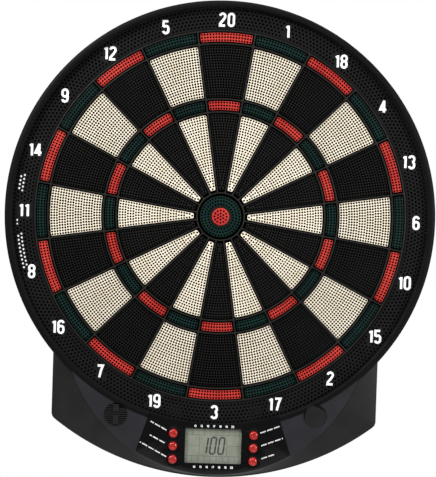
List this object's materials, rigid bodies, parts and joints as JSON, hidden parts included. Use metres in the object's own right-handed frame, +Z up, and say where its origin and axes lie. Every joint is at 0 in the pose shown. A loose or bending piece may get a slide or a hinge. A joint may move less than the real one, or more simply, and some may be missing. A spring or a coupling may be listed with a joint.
{
  "type": "electronic dartboard",
  "caption": "Round soft-tip dart target of sprung perforated segments in a perforated number ring, with a console below holding a display, red buttons and a speaker.",
  "frame": {"origin": "on the wall face behind the centre of the bull", "axes": "+Z up, +Y back towards the wall, +X to the right of a player facing the board"},
  "size_m": [0.4624, 0.0374, 0.5142],
  "materials": {
    "segment_black": "moulded black plastic, fine satin, full of dart holes",
    "segment_cream": "moulded cream plastic, fine satin, full of dart holes",
    "segment_red": "moulded red plastic, semi gloss, full of dart holes",
    "segment_green": "moulded dark green plastic, semi gloss, full of dart holes",
    "spider_plastic": "moulded black plastic",
    "catch_ring_plastic": "perforated dark grey plastic",
    "numeral_white": "white printed numbers",
    "housing_plastic": "dark grey plastic with a fine moulded grain",
    "gloss_inlay": "black high gloss printed inlay",
    "print_white": "white print on the inlay",
    "window_clear": "clear acrylic",
    "lcd_glass": "grey green reflective liquid crystal display",
    "lcd_segment": "dark liquid crystal segments",
    "button_red": "red gloss dome",
    "black_rubber": "black silicone rubber",
    "clear_film": "printed polyester film",
    "fibreboard": "pressed brown hardboard",
    "circuit_board": "green lacquered circuit board",
    "speaker_shell": "black cone and frame",
    "cell_jacket": "plain dark printed jacket",
    "contact_steel": "nickel plated spring steel",
    "screw_steel": "zinc plated steel"
  },
  "bodies": {
    "board": {"spider": "spider_plastic", "catch_ring": "catch_ring_plastic", "return_sheet": "black_rubber", "contact_film_upper": "clear_film", "contact_film_lower": "clear_film", "backing_board": "fibreboard", "front_housing": "housing_plastic", "control_label": "gloss_inlay", "display_window": "window_clear", "lcd_module": "lcd_glass", "lcd_connector": "black_rubber", "keypad_left": "black_rubber", "keypad_right": "black_rubber", "main_board": "circuit_board", "speaker": "speaker_shell", "rear_cover": "housing_plastic", "battery_cell_1": "cell_jacket", "battery_cell_2": "cell_jacket", "battery_cell_3": "cell_jacket", "contact_negative": "contact_steel", "contact_bridge_left": "contact_steel", "contact_bridge_right": "contact_steel", "contact_positive": "contact_steel", "cover_screw_1": "screw_steel", "cover_screw_2": "screw_steel", "cover_screw_3": "screw_steel", "cover_screw_4": "screw_steel", "cover_screw_5": "screw_steel", "cover_screw_6": "screw_steel", "cover_screw_7": "screw_steel", "cover_screw_8": "screw_steel"},
    "number_20": {"segments_20": "segment_black"},
    "number_1": {"segments_1": "segment_cream"},
    "number_18": {"segments_18": "segment_black"},
    "number_4": {"segments_4": "segment_cream"},
    "number_13": {"segments_13": "segment_black"},
    "number_6": {"segments_6": "segment_cream"},
    "number_10": {"segments_10": "segment_black"},
    "number_15": {"segments_15": "segment_cream"},
    "number_2": {"segments_2": "segment_black"},
    "number_17": {"segments_17": "segment_cream"},
    "number_3": {"segments_3": "segment_black"},
    "number_19": {"segments_19": "segment_cream"},
    "number_7": {"segments_7": "segment_black"},
    "number_16": {"segments_16": "segment_cream"},
    "number_8": {"segments_8": "segment_black"},
    "number_11": {"segments_11": "segment_cream"},
    "number_14": {"segments_14": "segment_black"},
    "number_9": {"segments_9": "segment_cream"},
    "number_12": {"segments_12": "segment_black"},
    "number_5": {"segments_5": "segment_cream"},
    "outer_bull": {"outer_bull": "segment_green"},
    "inner_bull": {"inner_bull": "segment_red"},
    "button_left_upper": {"button_left_upper": "button_red"},
    "button_left_middle": {"button_left_middle": "button_red"},
    "button_left_lower": {"button_left_lower": "button_red"},
    "button_right_upper": {"button_right_upper": "button_red"},
    "button_right_middle": {"button_right_middle": "button_red"},
    "button_right_lower": {"button_right_lower": "button_red"},
    "battery_door": {"battery_door": "housing_plastic"}
  },
  "joints": [
    {"name": "press_20", "type": "slide", "parent": "board", "child": "number_20", "axis": [0, 1, 0], "range_m": [0, 0.0012], "stiffness_N_per_m": 900},
    {"name": "press_1", "type": "slide", "parent": "board", "child": "number_1", "axis": [0, 1, 0], "range_m": [0, 0.0012], "stiffness_N_per_m": 900},
    {"name": "press_18", "type": "slide", "parent": "board", "child": "number_18", "axis": [0, 1, 0], "range_m": [0, 0.0012], "stiffness_N_per_m": 900},
    {"name": "press_4", "type": "slide", "parent": "board", "child": "number_4", "axis": [0, 1, 0], "range_m": [0, 0.0012], "stiffness_N_per_m": 900},
    {"name": "press_13", "type": "slide", "parent": "board", "child": "number_13", "axis": [0, 1, 0], "range_m": [0, 0.0012], "stiffness_N_per_m": 900},
    {"name": "press_6", "type": "slide", "parent": "board", "child": "number_6", "axis": [0, 1, 0], "range_m": [0, 0.0012], "stiffness_N_per_m": 900},
    {"name": "press_10", "type": "slide", "parent": "board", "child": "number_10", "axis": [0, 1, 0], "range_m": [0, 0.0012], "stiffness_N_per_m": 900},
    {"name": "press_15", "type": "slide", "parent": "board", "child": "number_15", "axis": [0, 1, 0], "range_m": [0, 0.0012], "stiffness_N_per_m": 900},
    {"name": "press_2", "type": "slide", "parent": "board", "child": "number_2", "axis": [0, 1, 0], "range_m": [0, 0.0012], "stiffness_N_per_m": 900},
    {"name": "press_17", "type": "slide", "parent": "board", "child": "number_17", "axis": [0, 1, 0], "range_m": [0, 0.0012], "stiffness_N_per_m": 900},
    {"name": "press_3", "type": "slide", "parent": "board", "child": "number_3", "axis": [0, 1, 0], "range_m": [0, 0.0012], "stiffness_N_per_m": 900},
    {"name": "press_19", "type": "slide", "parent": "board", "child": "number_19", "axis": [0, 1, 0], "range_m": [0, 0.0012], "stiffness_N_per_m": 900},
    {"name": "press_7", "type": "slide", "parent": "board", "child": "number_7", "axis": [0, 1, 0], "range_m": [0, 0.0012], "stiffness_N_per_m": 900},
    {"name": "press_16", "type": "slide", "parent": "board", "child": "number_16", "axis": [0, 1, 0], "range_m": [0, 0.0012], "stiffness_N_per_m": 900},
    {"name": "press_8", "type": "slide", "parent": "board", "child": "number_8", "axis": [0, 1, 0], "range_m": [0, 0.0012], "stiffness_N_per_m": 900},
    {"name": "press_11", "type": "slide", "parent": "board", "child": "number_11", "axis": [0, 1, 0], "range_m": [0, 0.0012], "stiffness_N_per_m": 900},
    {"name": "press_14", "type": "slide", "parent": "board", "child": "number_14", "axis": [0, 1, 0], "range_m": [0, 0.0012], "stiffness_N_per_m": 900},
    {"name": "press_9", "type": "slide", "parent": "board", "child": "number_9", "axis": [0, 1, 0], "range_m": [0, 0.0012], "stiffness_N_per_m": 900},
    {"name": "press_12", "type": "slide", "parent": "board", "child": "number_12", "axis": [0, 1, 0], "range_m": [0, 0.0012], "stiffness_N_per_m": 900},
    {"name": "press_5", "type": "slide", "parent": "board", "child": "number_5", "axis": [0, 1, 0], "range_m": [0, 0.0012], "stiffness_N_per_m": 900},
    {"name": "press_outer_bull", "type": "slide", "parent": "board", "child": "outer_bull", "axis": [0, 1, 0], "range_m": [0, 0.0012], "stiffness_N_per_m": 600},
    {"name": "press_inner_bull", "type": "slide", "parent": "board", "child": "inner_bull", "axis": [0, 1, 0], "range_m": [0, 0.0012], "stiffness_N_per_m": 600},
    {"name": "press_button_left_upper", "type": "slide", "parent": "board", "child": "button_left_upper", "axis": [0, 1, 0], "range_m": [0, 0.0012], "stiffness_N_per_m": 400},
    {"name": "press_button_left_middle", "type": "slide", "parent": "board", "child": "button_left_middle", "axis": [0, 1, 0], "range_m": [0, 0.0012], "stiffness_N_per_m": 400},
    {"name": "press_button_left_lower", "type": "slide", "parent": "board", "child": "button_left_lower", "axis": [0, 1, 0], "range_m": [0, 0.0012], "stiffness_N_per_m": 400},
    {"name": "press_button_right_upper", "type": "slide", "parent": "board", "child": "button_right_upper", "axis": [0, 1, 0], "range_m": [0, 0.0012], "stiffness_N_per_m": 400},
    {"name": "press_button_right_middle", "type": "slide", "parent": "board", "child": "button_right_middle", "axis": [0, 1, 0], "range_m": [0, 0.0012], "stiffness_N_per_m": 400},
    {"name": "press_button_right_lower", "type": "slide", "parent": "board", "child": "button_right_lower", "axis": [0, 1, 0], "range_m": [0, 0.0012], "stiffness_N_per_m": 400},
    {"name": "battery_door_lift", "type": "slide", "parent": "board", "child": "battery_door", "axis": [0, 1, 0], "range_m": [0, 0.03]}
  ]
}
